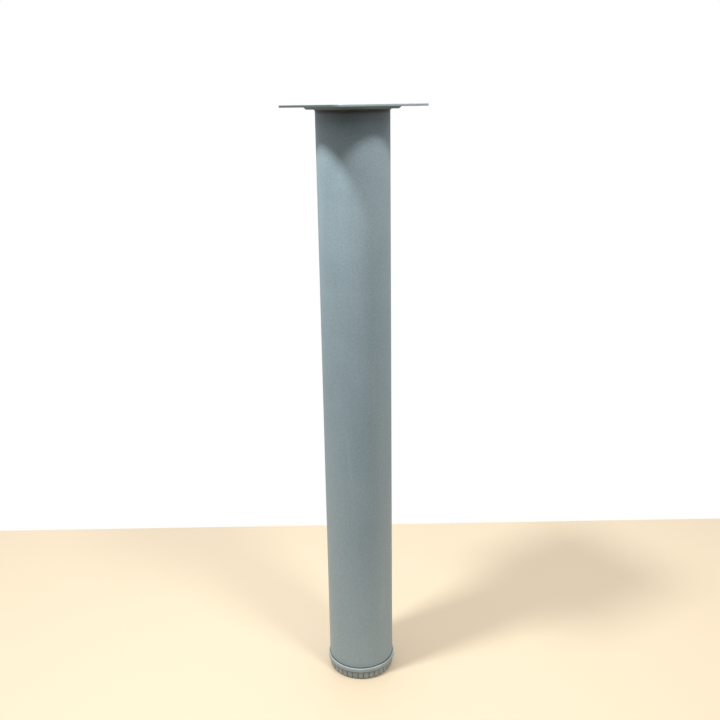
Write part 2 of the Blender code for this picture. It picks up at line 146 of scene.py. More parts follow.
# Table top under the leg, measured from the leg's axis
TABLE_HALF_WIDTH = 0.9
TABLE_FRONT = 0.30
TABLE_BACK = 0.36
TABLE_THICKNESS = 0.03
TABLE_GAP = 0.02 * MM            # keeps the table top just clear of the pad
TABLE_COLOUR = (0.33, 0.26, 0.18)

# Colours of the finishes
WHITE = (1.0, 1.0, 1.0)
COAT_DARK = (0.182, 0.227, 0.244)
COAT_MIDDLE = (0.220, 0.272, 0.292)
COAT_LIGHT = (0.280, 0.335, 0.355)
COAT_SHADE = (0.88, 0.88, 0.88)
COAT_CLOUD = (0.95, 0.955, 0.965)
SCUFFED_COAT = (0.34, 0.36, 0.36)
WORN_COAT = (0.36, 0.38, 0.385)
RUBBER_DARK = (0.020, 0.020, 0.020)
RUBBER_LIGHT = (0.038, 0.037, 0.036)
FLOOR_DUST = (0.16, 0.145, 0.125)
# Painted shade: the dark colour laid in seams and under the plate and the foot's lip
PAINTED_SHADE_COLOUR = (0.030, 0.036, 0.040)
PAINTED_SHADE_STRENGTH = 0.8

# Camera
CAMERA_PLACE = Vector((0.7664, -0.5000, 0.6901))
CAMERA_AIM = Vector((0.0022, 0.0032, 0.4072))
CAMERA_ROLL = math.radians(-0.864)
CAMERA_LENS = 41.39


# Mesh tools


def arc(centre, radius, start, end, steps):
    """Points of an arc in the (radius, height) plane, angles in degrees."""
    points = []
    for i in range(steps + 1):
        angle = math.radians(start + (end - start) * i / steps)
        points.append((centre[0] + radius * math.cos(angle), centre[1] + radius * math.sin(angle)))
    return points


def rounded(corners, steps=4, closed=True):
    """Round the corners of an outline, each given as (radius, height, fillet)."""
    count = len(corners)
    points = []
    for i, (x, z, fillet) in enumerate(corners):
        here = Vector((x, z))
        at_end = not closed and i in (0, count - 1)
        if not fillet or at_end:
            points.append((x, z))
            continue
        before = Vector(corners[i - 1][:2]) - here
        after = Vector(corners[(i + 1) % count][:2]) - here
        half = before.angle(after) / 2
        shorter = min(before.length, after.length)
        reach = min(fillet / math.tan(half), LONGEST_FILLET * shorter)
        radius = reach * math.tan(half)
        centre = here + (before.normalized() + after.normalized()).normalized() * (
            radius / math.sin(half))
        first = here + before.normalized() * reach - centre
        last = here + after.normalized() * reach - centre
        opening = first.angle_signed(last)
        for k in range(steps + 1):
            turn = -opening * k / steps
            spoke = Vector((first.x * math.cos(turn) - first.y * math.sin(turn),
                            first.x * math.sin(turn) + first.y * math.cos(turn)))
            points.append(tuple(centre + spoke))
    return points


def link(name, bm, body, replaced, material):
    """Finish a mesh and hand it over to the frame as a piece on a body."""
    bmesh.ops.recalc_face_normals(bm, faces=bm.faces)
    mesh = bpy.data.meshes.new(name)
    bm.to_mesh(mesh)
    bm.free()
    mesh.shade_smooth()
    mesh.set_sharp_from_angle(angle=SHARP_ANGLE)
    mesh.materials.append(material)
    obj = bpy.data.objects.new(name, mesh)
    bpy.context.scene.collection.objects.link(obj)
    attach(obj, body)
    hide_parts(*replaced)
    return obj


def sweep(outline, segments, shape=None):
    """Sweep an outline round Z; shape(k, radius, height, angle) may move point k at an angle.

    The outline is closed unless it starts and ends on the axis."""
    bm = bmesh.new()
    columns = []
    poles = {}
    for k, (radius, height) in enumerate(outline):
        if radius < ON_AXIS:
            poles[k] = bm.verts.new((0, 0, height))
    for s in range(segments):
        angle = TAU * s / segments
        column = []
        for k, (radius, height) in enumerate(outline):
            if k in poles:
                column.append(poles[k])
                continue
            r, z = shape(k, radius, height, angle) if shape else (radius, height)
            column.append(bm.verts.new((r * math.cos(angle), r * math.sin(angle), z)))
        columns.append(column)
    count = len(outline)
    rows = count - 1 if poles else count
    for s in range(segments):
        left, right = columns[s - 1], columns[s]
        for k in range(rows):
            n = (k + 1) % count
            corners = []
            for vert in (left[k], right[k], right[n], left[n]):
                if vert not in corners:
                    corners.append(vert)
            if len(corners) > 2:
                bm.faces.new(corners)
    return bm


def hex_radius(angle, flats):
    """Distance from the axis to a hexagon's side, with corners on the X axis."""
    sector = math.radians(60)
    return flats / 2 / math.cos((angle % sector) - sector / 2)


def smooth(t):
    """Smooth step from 0 to 1."""
    t = min(max(t, 0.0), 1.0)
    return t * t * (3 - 2 * t)


# Materials


def new_material(name):
    """A material with its node tree, its shader, and the place on the piece in metres."""
    material = bpy.data.materials.new(name)
    material.use_nodes = True
    tree = material.node_tree
    coords = tree.nodes.new("ShaderNodeTexCoord")
    return material, tree, tree.nodes["Principled BSDF"], coords.outputs["Object"]


def add_noise(tree, vector, scale, detail=2.0, roughness=0.5, stretch=None):
    """Noise from 0 to 1; stretch is its frequency along each axis, times scale."""
    nodes, links = tree.nodes, tree.links
    if stretch:
        mapping = nodes.new("ShaderNodeMapping")
        mapping.inputs["Scale"].default_value = stretch
        links.new(vector, mapping.inputs["Vector"])
        vector = mapping.outputs["Vector"]
    texture = nodes.new("ShaderNodeTexNoise")
    texture.inputs["Scale"].default_value = scale
    texture.inputs["Detail"].default_value = detail
    texture.inputs["Roughness"].default_value = roughness
    links.new(vector, texture.inputs["Vector"])
    return texture.outputs["Fac"]


def add_ramp(tree, value, stops):
    """Colour ramp with stops of (position, colour)."""
    ramp = tree.nodes.new("ShaderNodeValToRGB")
    elements = ramp.color_ramp.elements
    while len(elements) < len(stops):
        elements.new(0.5)
    for element, (position, colour) in zip(elements, stops):
        element.position = position
        element.color = (*colour, 1)
    tree.links.new(value, ramp.inputs["Fac"])
    return ramp.outputs["Color"]


def add_mix(tree, factor, first, second, blend="MIX"):
    """Mix two colours; each input is a socket, a number or a colour."""
    mix = tree.nodes.new("ShaderNodeMix")
    mix.data_type = "RGBA"
    mix.blend_type = blend
    for socket, value in ((mix.inputs[0], factor), (mix.inputs[6], first), (mix.inputs[7], second)):
        if isinstance(value, bpy.types.NodeSocket):
            tree.links.new(value, socket)
        else:
            socket.default_value = value if isinstance(value, float) else (*value, 1)
    return mix.outputs[2]


def add_range(tree, value, low, high, from_low=0.3, from_high=0.7):
    """Map a value from one range to another, and hold it inside that."""
    scale = tree.nodes.new("ShaderNodeMapRange")
    scale.inputs["From Min"].default_value = from_low
    scale.inputs["From Max"].default_value = from_high
    scale.inputs["To Min"].default_value = low
    scale.inputs["To Max"].default_value = high
    tree.links.new(value, scale.inputs["Value"])
    return scale.outputs["Result"]


def add_bumps(tree, shader, layers):
    """Chain of bump layers, each (height socket, distance, strength)."""
    nodes, links = tree.nodes, tree.links
    normal = None
    for height, distance, strength in layers:
        bump = nodes.new("ShaderNodeBump")
        bump.inputs["Distance"].default_value = distance
        bump.inputs["Strength"].default_value = strength
        links.new(height, bump.inputs["Height"])
        if normal:
            links.new(normal, bump.inputs["Normal"])
        normal = bump.outputs["Normal"]
    links.new(normal, shader.inputs["Normal"])


def edge_mask(tree, low, high):
    """One on convex edges and zero elsewhere, from the mesh's pointiness."""
    geometry = tree.nodes.new("ShaderNodeNewGeometry")
    return add_range(tree, geometry.outputs["Pointiness"], 0.0, 1.0, low, high)


def add_painted_shade(tree, place, colour, bands):
    """Painted shade in seams and under parts, on bands of height given as (start, full, fade, end).
    """
    nodes, links = tree.nodes, tree.links
    split = nodes.new("ShaderNodeSeparateXYZ")
    links.new(place, split.inputs["Vector"])
    height = split.outputs["Z"]
    for start, full, fade, end in bands:
        rise = add_range(tree, height, 0.0, PAINTED_SHADE_STRENGTH, start, full)
        fall = add_range(tree, height, 1.0, 0.0, fade, end)
        product = nodes.new("ShaderNodeMath")
        product.operation = "MULTIPLY"
        links.new(rise, product.inputs[0])
        links.new(fall, product.inputs[1])
        colour = add_mix(tree, product.outputs["Value"], colour, PAINTED_SHADE_COLOUR)
    return colour


def powder_coat(name, painted_shade_bands=()):
    """Matte grey powder coat: orange peel, fine metallic speckle, faint handling marks."""
    material, tree, shader, place = new_material(name)
    speckle = add_noise(tree, place, scale=2600, detail=1.0)
    mottle = add_noise(tree, place, scale=480, roughness=0.6)
    cloud = add_noise(tree, place, scale=22, detail=3.0)
    rub = add_noise(tree, place, scale=60, detail=4.0, roughness=0.6, stretch=(1.0, 1.0, 0.12))
    base = add_ramp(tree, speckle, [(0.30, COAT_DARK), (0.55, COAT_MIDDLE), (0.72, COAT_LIGHT)])
    shade = add_ramp(tree, mottle, [(0.35, COAT_SHADE), (0.65, WHITE)])
    tint = add_ramp(tree, cloud, [(0.3, COAT_CLOUD), (0.7, WHITE)])
    mottled = add_mix(tree, 1.0, base, shade, "MULTIPLY")
    coated = add_mix(tree, 1.0, mottled, tint, "MULTIPLY")
    marks = add_range(tree, rub, 0.0, 0.16, 0.60, 0.74)
    scuffed = add_mix(tree, marks, coated, SCUFFED_COAT)
    worn = add_mix(tree, edge_mask(tree, 0.53, 0.60), scuffed, WORN_COAT)
    # painted shade darkens the given bands of height
    painted_shaded = add_painted_shade(tree, place, worn, painted_shade_bands)
    tree.links.new(painted_shaded, shader.inputs["Base Color"])
    tree.links.new(add_range(tree, cloud, 0.44, 0.54), shader.inputs["Roughness"])
    shader.inputs["Metallic"].default_value = 0.22
    shader.inputs["Specular IOR Level"].default_value = 0.5
    waves = add_noise(tree, place, scale=45, detail=1.0)
    peel = add_noise(tree, place, scale=620, roughness=0.45)
    grain = add_noise(tree, place, scale=3200, detail=1.0)
    add_bumps(tree, shader, [(waves, 0.12 * MM, 0.25), (peel, 0.06 * MM, 0.55),
                             (grain, 0.01 * MM, 0.5)])
    return material


def moulded_plastic(name, dark, light, roughness, worn_colour, wear, painted_shade_bands=()):
    """Moulded plastic: spark-eroded grain, slight flow marks, polished edges, some dust."""
    material, tree, shader, place = new_material(name)
    flow = add_noise(tree, place, scale=70, detail=3.0, roughness=0.55, stretch=(1.0, 1.0, 2.5))
    grain = add_noise(tree, place, scale=2400)
    dust = add_noise(tree, place, scale=320, detail=4.0, roughness=0.65)
    base = add_ramp(tree, flow, [(0.3, dark), (0.7, light)])
    edges = add_range(tree, edge_mask(tree, 0.52, 0.60), 0.0, wear, 0.0, 1.0)
    rubbed = add_mix(tree, edges, base, worn_colour)
    dusty = add_mix(tree, add_range(tree, dust, 0.0, 0.15, 0.55, 0.75), rubbed, worn_colour)
    # painted shade darkens the given bands of height
    painted_shaded = add_painted_shade(tree, place, dusty, painted_shade_bands)
    tree.links.new(painted_shaded, shader.inputs["Base Color"])
    gloss = add_range(tree, flow, roughness - 0.06, roughness + 0.08)
    tree.links.new(gloss, shader.inputs["Roughness"])
    add_bumps(tree, shader, [(flow, 0.06 * MM, 0.3), (grain, 0.02 * MM, 0.6)])
    return material


def plated_steel(name, dark, light, roughness):
    """Zinc plated or blackened steel: fine turning lines and cloudy plating."""
    material, tree, shader, place = new_material(name)
    cloud = add_noise(tree, place, scale=260, detail=3.0)
    lines = add_noise(tree, place, scale=900, roughness=0.6, stretch=(0.15, 0.15, 6.0))
    base = add_ramp(tree, cloud, [(0.3, dark), (0.7, light)])
    tree.links.new(base, shader.inputs["Base Color"])
    gloss = add_range(tree, cloud, roughness - 0.06, roughness + 0.12)
    tree.links.new(gloss, shader.inputs["Roughness"])
    shader.inputs["Metallic"].default_value = 1.0
    add_bumps(tree, shader, [(lines, 0.01 * MM, 0.4), (cloud, 0.01 * MM, 0.3)])
    return material


def pad_rubber():
    """Dull dark elastomer with a matte skin and some floor dust."""
    material, tree, shader, place = new_material("pad_rubber")
    skin = add_noise(tree, place, scale=1500, detail=3.0, roughness=0.6)
    dust = add_noise(tree, place, scale=140, detail=5.0, roughness=0.6)
    base = add_ramp(tree, skin, [(0.3, RUBBER_DARK), (0.7, RUBBER_LIGHT)])
    dusty = add_mix(tree, add_range(tree, dust, 0.0, 0.3, 0.5, 0.75), base, FLOOR_DUST)
    tree.links.new(dusty, shader.inputs["Base Color"])
    tree.links.new(add_range(tree, dust, 0.72, 0.9), shader.inputs["Roughness"])
    add_bumps(tree, shader, [(skin, 0.04 * MM, 0.5)])
    return material


# Heights of the bands of painted shade in seams and under parts, as (start, full, fade, end)
# painted shade on the tube's end, in the gap over the foot's rim
PAINTED_SHADE_OVER_FOOT = (0, 1 * MM, GRIP_HIGH.z + 0.2 * MM, GRIP_HIGH.z + 1.3 * MM)
# painted shade on the tube's top, just under the plate and its weld
PAINTED_SHADE_UNDER_WELD = (BOSS_UNDERSIDE - 5 * MM, BOSS_UNDERSIDE - 1 * MM,
                   BOSS_UNDERSIDE, BOSS_UNDERSIDE + 1 * MM)
# painted shade on the grip, in the groove under its lip
PAINTED_SHADE_UNDER_LIP = (8.4 * MM, 9.6 * MM, LIP_UNDERSIDE - 0.1 * MM, LIP_UNDERSIDE)
# painted shade over the whole weld, which sits under the plate
PAINTED_SHADE_ALL_WELD = (0, 1 * MM, 2 * BOSS_UNDERSIDE, 3 * BOSS_UNDERSIDE)

COAT = powder_coat("powder_coat")
# the tube's coat carries painted shade over the foot and under the plate
TUBE_COAT = powder_coat("tube_coat", [PAINTED_SHADE_OVER_FOOT, PAINTED_SHADE_UNDER_WELD])
# the weld's coat is painted dark all over as shade
WELD_COAT = powder_coat("weld_coat", [PAINTED_SHADE_ALL_WELD])
# the grey plastic carries painted shade in the groove under the lip
GREY_PLASTIC = moulded_plastic(
    "grey_plastic", dark=(0.175, 0.200, 0.200), light=(0.215, 0.243, 0.243), roughness=0.42,
    worn_colour=(0.34, 0.36, 0.355), wear=0.45, painted_shade_bands=[PAINTED_SHADE_UNDER_LIP])
BLACK_PLASTIC = moulded_plastic(
    "black_plastic", dark=(0.012, 0.014, 0.016), light=(0.020, 0.023, 0.026), roughness=0.48,
    worn_colour=(0.07, 0.07, 0.07), wear=0.2)
ZINC = plated_steel("zinc_plate", dark=(0.50, 0.51, 0.53), light=(0.68, 0.69, 0.70),
                    roughness=0.30)
SPRING_STEEL = plated_steel("spring_steel", dark=(0.07, 0.07, 0.075), light=(0.14, 0.14, 0.15),
                            roughness=0.36)
RUBBER = pad_rubber()


# Mounting plate


def loop_square(bm, inset, z):
    """Vertices of the plate's rounded outline, set in from its edge."""
    radius = PLATE_CORNER - inset
    centre = PLATE_SIDE / 2 - PLATE_CORNER
    verts = []
    for quarter in range(4):
        middle = math.radians(45 + 90 * quarter)
        cx = math.copysign(centre, math.cos(middle))
        cy = math.copysign(centre, math.sin(middle))
        for step in range(CORNER_STEPS + 1):
            angle = middle + math.radians(90) * (step / CORNER_STEPS - 0.5)
            verts.append(bm.verts.new((cx + radius * math.cos(angle),
                                       cy + radius * math.sin(angle), z)))
    return verts


def loop_circle(bm, x, y, radius, z, steps):
    """Vertices of a level circle."""
    return [bm.verts.new((x + radius * math.cos(TAU * i / steps),
                          y + radius * math.sin(TAU * i / steps), z)) for i in range(steps)]


def bridge(bm, first, second):
    """Faces between two closed loops with as many vertices."""
    for i in range(len(first)):
        bm.faces.new((first[i - 1], first[i], second[i], second[i - 1]))


def fill_between(bm, loops):
    """Flat face with holes: the first loop is its outline."""
    edges = []
    for loop in loops:
        for i in range(len(loop)):
            edge = bm.edges.get((loop[i - 1], loop[i]))
            edges.append(edge or bm.edges.new((loop[i - 1], loop[i])))
    bmesh.ops.triangle_fill(bm, edges=edges, use_beauty=True)


def ring_run(bm, x, y, points, steps):
    """Loops through (radius, height) points round a centre, bridged in turn; first and last."""
    loops = [loop_circle(bm, x, y, radius, z, steps) for radius, z in points]
    for first, second in zip(loops, loops[1:]):
        bridge(bm, first, second)
    return loops[0], loops[-1]


def pressed(outer, top):
    """Profile of the pressed dish on one face, with both bends rounded, in to its hole."""
    level = top - BOSS_DEPTH
    return rounded([(outer + 3 * PRESS_BEND, top, 0), (outer, top, PRESS_BEND),
                    (outer - PRESS_SLOPE, level, PRESS_BEND),
                    (PLATE_CENTRE_HOLE + FLAT_RIM, level, 0), (PLATE_CENTRE_HOLE, level, 0)],
                   steps=5, closed=False)


def build_plate():
    """Sheet with a rounded edge, a dish pressed down in it, and countersunk screw holes."""
    bm = bmesh.new()
    under = PLATE_TOP - SHEET
    border = PLATE_EDGE_ROUND + FLAT_RIM
    top_loops = [loop_square(bm, border, PLATE_TOP)]
    low_loops = [loop_square(bm, border, under)]
    soft = PLATE_EDGE_ROUND
    edge = arc((-soft, PLATE_TOP - soft), soft, 90, 0, steps=4)
    edge += arc((-soft, under + soft), soft, 0, -90, steps=4)
    edge_loops = [loop_square(bm, -offset, z) for offset, z in edge]
    rim_loops = [top_loops[0], *edge_loops, low_loops[0]]
    for first, second in zip(rim_loops, rim_loops[1:]):
        bridge(bm, first, second)

    sink = COUNTERSINK - SCREW_HOLE
    ease = 0.15 * MM
    hole = [(SCREW_HOLE + ease + FLAT_RIM, PLATE_TOP), (SCREW_HOLE + ease, PLATE_TOP),
            (SCREW_HOLE, PLATE_TOP - ease), (SCREW_HOLE, under + sink), (COUNTERSINK, under),
            (COUNTERSINK + FLAT_RIM, under)]
    top_first, top_last = ring_run(bm, 0, 0, pressed(DISH_RADIUS, PLATE_TOP), BOSS_STEPS)
    low_first, low_last = ring_run(bm, 0, 0, pressed(BOSS_RADIUS, under), BOSS_STEPS)
    bridge(bm, top_last, low_last)
    top_loops.append(top_first)
    low_loops.append(low_first)
    for x in (-SCREW_REACH, SCREW_REACH):
        for y in (-SCREW_REACH, SCREW_REACH):
            first, last = ring_run(bm, x, y, hole, HOLE_STEPS)
            top_loops.append(first)
            low_loops.append(last)
    fill_between(bm, top_loops)
    fill_between(bm, low_loops)
    return link("plate_sheet", bm, "leg", ["mounting_plate"], COAT)


PLATE = build_plate()


# Weld and tube


def build_weld():
    """Hollow-faced fillet with faint ripples from welding, under the coating."""
    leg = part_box("plate_weld")[1].x - TUBE_RADIUS
    root = 0.6 * MM
    face = arc((TUBE_RADIUS + leg, BOSS_UNDERSIDE - leg), leg, 90, 180, steps=12)
    upper = BOSS_UNDERSIDE + root
    outline = [(TUBE_RADIUS - root, upper), (TUBE_RADIUS + leg, upper), *face,
               (TUBE_RADIUS - root, BOSS_UNDERSIDE - leg)]
    face_start, face_end = 2, 1 + len(face)
    bulge, ripple_height, wander_height = 0.35 * MM, 0.05 * MM, 0.16 * MM
    wander_scale = 2.3
    diagonal = 0.7

    def shape(k, radius, height, angle):
        if not face_start < k < face_end:
            return radius, height
        across = math.sin(math.pi * (k - face_start) / (len(face) - 1))
        wander = noise.noise(Vector((wander_scale * math.cos(angle),
                                     wander_scale * math.sin(angle), 0.0)))
        ripple = math.sin(WELD_RIPPLES * angle + 2.0 * wander)
        lift = across * (bulge + ripple_height * ripple + wander_height * wander)
        return radius + diagonal * lift, height - diagonal * lift

    bm = sweep(outline, 3 * FINE, shape)
    return link("weld_fillet", bm, "leg", ["plate_weld"], WELD_COAT)


build_weld()


def build_tube():
    """Drawn tube: a wall that wavers by hundredths of a millimetre, and a deburred lower end."""
    lip = 0.35 * MM
    top = BOSS_UNDERSIDE
    bottom = TUBE_LOW.z
    corners = [(TUBE_BORE, top, 0), (TUBE_RADIUS, top, 0), (TUBE_RADIUS, bottom, lip),
               (TUBE_BORE, bottom, lip)]
    ends = rounded(corners)
    row = (top - bottom - lip) / TUBE_ROWS
    outside = [(TUBE_RADIUS, top - row * i) for i in range(1, TUBE_ROWS)]
    outline = ends[:2] + outside + ends[2:]
    wave_height = 0.03 * MM
    round_scale, length_scale = 1.5, 9.0

    def shape(k, radius, height, angle):
        wave = noise.noise(Vector((round_scale * math.cos(angle), round_scale * math.sin(angle),
                                   length_scale * height)))
        return radius + wave_height * wave, height

    bm = sweep(outline, FINE, shape)
    return link("tube_wall", bm, "leg", ["leg_tube"], TUBE_COAT)


build_tube()


# Parts in the tube's end


def keep_node(name, material, bevel):
    """Carry a CAD node over with a finish, welded and with its edges eased."""
    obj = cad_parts[name]
    obj.data.materials.clear()
    obj.data.materials.append(material)
    weld = obj.modifiers.new("weld", "WELD")
    weld.merge_threshold = 0.01 * MM
    ease = obj.modifiers.new("ease", "BEVEL")
    ease.width = bevel
    ease.segments = 2
    ease.limit_method = "ANGLE"
    ease.angle_limit = EASED_ANGLE
    ease.harden_normals = True


keep_node("tube_insert", BLACK_PLASTIC, 0.12 * MM)
keep_node("insert_nut", ZINC, 0.1 * MM)
keep_node("nut_retainer", SPRING_STEEL, 0.05 * MM)
keep_node("stud_circlip", SPRING_STEEL, 0.05 * MM)


# Foot


def grip_corners():
    """Outline of the grip as (radius, height, fillet), outer side running down."""
    ease = 0.4 * MM
    sharp = 0.2 * MM
    top = WASHER_LOW.z - TOUCH_GAP
    deck = top - 0.8 * MM
    deck_inner, deck_outer = 13.4 * MM, 36.8 * MM
    seat_inner = 37.6 * MM
    rim_bore = TUBE_RADIUS + 0.5 * MM
    rim_top = GRIP_HIGH.z
    lip = GRIP_HIGH.x
    groove, groove_height = lip - 1.6 * MM, 10.1 * MM
    band_top, band_height = lip - 1.3 * MM, 9.3 * MM
    band_foot = lip - 1.9 * MM
    bottom = GRIP_LOW.z
    roof = 11.2 * MM
    collar = 4.4 * MM
    wall_bore = 36 * MM
    socket_outer, socket_mouth, socket_bore = 28.2 * MM, 25.1 * MM, 26.0 * MM
    snap_low, snap_high, socket_roof = 6.2 * MM, 6.8 * MM, 9.0 * MM
    post_outer, post_inner = 21.4 * MM, 18.6 * MM
    hub = 13 * MM
    return [
        (CLEARANCE_HOLE, top, sharp),
        (hub, top, ease),
        (deck_inner, deck, ease),
        (deck_outer, deck, ease),
        (seat_inner, top, ease),
        (rim_bore, top, sharp),
        (rim_bore, rim_top, 0.25 * MM),
        (lip, rim_top, 0.9 * MM),
        (lip, LIP_UNDERSIDE, 0.7 * MM),
        (groove, groove_height, 0.3 * MM),
        (band_top, band_height, 0.3 * MM),
        (band_foot, bottom, 0.7 * MM),
        (wall_bore, bottom, ease),
        (wall_bore, roof, ease),
        (socket_outer, roof, ease),
        (socket_outer, collar, ease),
        (socket_mouth, collar, ease),
        (socket_mouth, snap_low, 0),
        (socket_bore, snap_high, 0),
        (socket_bore, socket_roof, ease),
        (post_outer, socket_roof, ease),
        (post_outer, collar, ease),
        (post_inner, collar, ease),
        (post_inner, roof, ease),
        (hub, roof, ease),
        (hub, collar, ease),
        (POCKET_FLATS / 2, collar, 0),
        (POCKET_FLATS / 2, POCKET_TOP, 0),
        (CLEARANCE_HOLE, POCKET_TOP, 0),
    ]


def insert_rows(outline, inner_radius, shortest, rows):
    """Split the band's long outer edge into rows, so the flutes can fade along it."""
    points = []
    for first, second in zip(outline, outline[1:] + outline[:1]):
        points.append(first)
        if min(first[0], second[0]) > inner_radius and first[1] - second[1] > shortest:
            for i in range(1, rows):
                t = i / rows
                points.append((first[0] + (second[0] - first[0]) * t,
                               first[1] + (second[1] - first[1]) * t))
    return points


def build_grip():
    """Ribbed grip: upright flutes in its band, and a hex pocket for the stud's head."""
    band_inner = GRIP_HIGH.x - 3.2 * MM
    outline = insert_rows(rounded(grip_corners()), band_inner, shortest=5 * MM, rows=14)
    pitch = TAU / FLUTES
    steepness = 2.2

    def shape(k, radius, height, angle):
        if radius > band_inner and height < FLUTE_TOP:
            offset = (angle + pitch / 2) % pitch - pitch / 2
            valley = smooth(steepness * (1 - abs(offset) * radius / FLUTE_HALF_WIDTH))
            fade = smooth((FLUTE_TOP - height) / FLUTE_FADE)
            return radius - FLUTE_DEPTH * valley * fade, height
        if radius == POCKET_FLATS / 2:
            return hex_radius(angle, POCKET_FLATS), height
        return radius, height

    bm = sweep(outline, FLUTES * STEPS_PER_FLUTE, shape)
    return link("grip_body", bm, "foot", ["foot_grip"], GREY_PLASTIC)


build_grip()


def build_pad():
    """Glide pad with shallow rings moulded into its underside."""
    low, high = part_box("glide_pad")
    radius, top, bottom = high.x, high.z, low.z
    ring_roof = bottom + 0.5 * MM
    lean = 0.2 * MM
    ease = 0.15 * MM
    corners = [(0, top, 0), (radius, top, 0.2 * MM), (radius, bottom, 0.8 * MM)]
    for ring in range(PAD_RINGS):
        outer = radius - (1 + ring) * RING_SPACING
        inner = outer - RING_WIDTH
        corners += [(outer, bottom, ease), (outer - lean, ring_roof, ease),
                    (inner + lean, ring_roof, ease), (inner, bottom, ease)]
    corners.append((0, bottom, 0))
    bm = sweep(rounded(corners, steps=3, closed=False), MEDIUM)
    return link("pad_disc", bm, "glide", ["glide_pad"], RUBBER)


build_pad()


def build_carrier():
    """Flat disc with an upright ring, whose hooked rim snaps into the grip."""
    low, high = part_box("pad_carrier")
    radius, bottom, top = high.x, low.z, high.z
    disc = bottom + 1.5 * MM
    ring_inner, ring_tip, ring_outer = 22 * MM, 24.2 * MM, 24.6 * MM
    hook, hook_high, hook_low, hook_foot = 25.6 * MM, 7.8 * MM, 7.2 * MM, 6.6 * MM
    ease = 0.3 * MM
    corners = [(0, disc, 0), (ring_inner, disc, ease), (ring_inner, top, ease),
               (ring_tip, top, ease), (hook, hook_high, ease), (hook, hook_low, ease),
               (ring_outer, hook_foot, ease), (ring_outer, disc, ease), (radius, disc, ease),
               (radius, bottom, ease), (0, bottom, 0)]
    bm = sweep(rounded(corners, steps=3, closed=False), MEDIUM)
    return link("carrier_disc", bm, "glide", ["pad_carrier"], BLACK_PLASTIC)


build_carrier()


def build_washer():
    """Flat washer between the grip and its lock nut."""
    radius, bottom, top = WASHER_HIGH.x, WASHER_LOW.z, WASHER_HIGH.z
    ease = 0.3 * MM
    bore_ease = 0.1 * MM
    corners = [(CLEARANCE_HOLE, top, bore_ease), (radius, top, ease), (radius, bottom, ease),
               (CLEARANCE_HOLE, bottom, bore_ease)]
    bm = sweep(rounded(corners, steps=3), MEDIUM)
    return link("washer_ring", bm, "foot", ["stud_washer"], ZINC)


build_washer()


def chamfer_drop(angle):
    """How far the 30 degree turned end lies below a hexagon's face at its side."""
    return max(0.0, hex_radius(angle, NUT_FLATS) - NUT_FACE) * math.tan(math.radians(30))


def build_lock_nut():
    """Hexagon nut with both ends turned to a chamfer."""
    top, bottom = NUT_HIGH.z, NUT_LOW.z
    bore = 5 * MM
    flare = 0.6 * MM
    outline = [(bore, top - flare), (bore + flare, top), (NUT_FACE, top), (NUT_CORNER, top),
               (NUT_CORNER, bottom), (NUT_FACE, bottom), (bore + flare, bottom),
               (bore, bottom + flare)]

    def shape(k, radius, height, angle):
        if radius < NUT_CORNER:
            return radius, height
        drop = chamfer_drop(angle)
        return hex_radius(angle, NUT_FLATS), height - drop if height == top else height + drop

    bm = sweep(outline, MEDIUM, shape)
    return link("lock_nut", bm, "foot", ["stud_lock_nut"], ZINC)


build_lock_nut()


def build_stud():
    """Hex-head stud with a cut right-hand thread, a plain neck and a groove for its ring."""
    ring_low, ring_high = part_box("stud_circlip")
    top, bottom = STUD_HIGH.z, STUD_LOW.z
    head_top = bottom + STUD_HEAD
    tip_chamfer = 1 * MM
    groove = 4.3 * MM
    groove_top = ring_high.z + 0.15 * MM
    groove_bottom = ring_low.z - 0.15 * MM
    neck = head_top + 2 * MM
    thread_end = ring_low.z - 1.2 * MM
    thread_length = thread_end - neck
    rows = round(thread_length / PITCH * STEPS_PER_PITCH)
    tip = [(0, top), (STUD_CREST - tip_chamfer, top), (STUD_CREST, top - tip_chamfer),
           (STUD_CREST, groove_top), (groove, groove_top), (groove, groove_bottom),
           (STUD_CREST, groove_bottom)]
    thread = [(STUD_CREST, thread_end - thread_length * i / rows) for i in range(rows + 1)]
    head = [(STUD_CREST, head_top), (NUT_FACE, head_top), (NUT_CORNER, head_top),
            (NUT_CORNER, bottom), (NUT_FACE, bottom), (0, bottom)]
    outline = tip + thread + head
    first, last = len(tip), len(tip) + len(thread)

    def shape(k, radius, height, angle):
        if first <= k < last:
            turn = ((height - neck) / PITCH - angle / TAU) % 1.0
            valley = 1 - abs(2 * turn - 1)
            flattened = min(max(THREAD_FLANK * valley - (THREAD_FLANK - 1) / 2, 0.0), 1.0)
            fade = min(smooth((height - neck) / PITCH), smooth((thread_end - height) / PITCH))
            return STUD_CREST - THREAD_DEPTH * flattened * fade, height
        if radius < NUT_CORNER:
            return radius, height
        drop = chamfer_drop(angle) if height == bottom else 0.0
        return hex_radius(angle, NUT_FLATS), height + drop

    bm = sweep(outline, COARSE, shape)
    return link("stud_thread", bm, "foot", ["leveling_stud"], ZINC)


build_stud()


# Floor, light and camera


def toward_camera(left, front, height):
    """A place measured from the leg's axis: left and front as the camera sees them."""
    facing = Vector((CAMERA_PLACE.x, CAMERA_PLACE.y, 0)).normalized()
    leftward = Vector((facing.y, -facing.x, 0))
    return leftward * left + facing * front + Vector((0, 0, height))


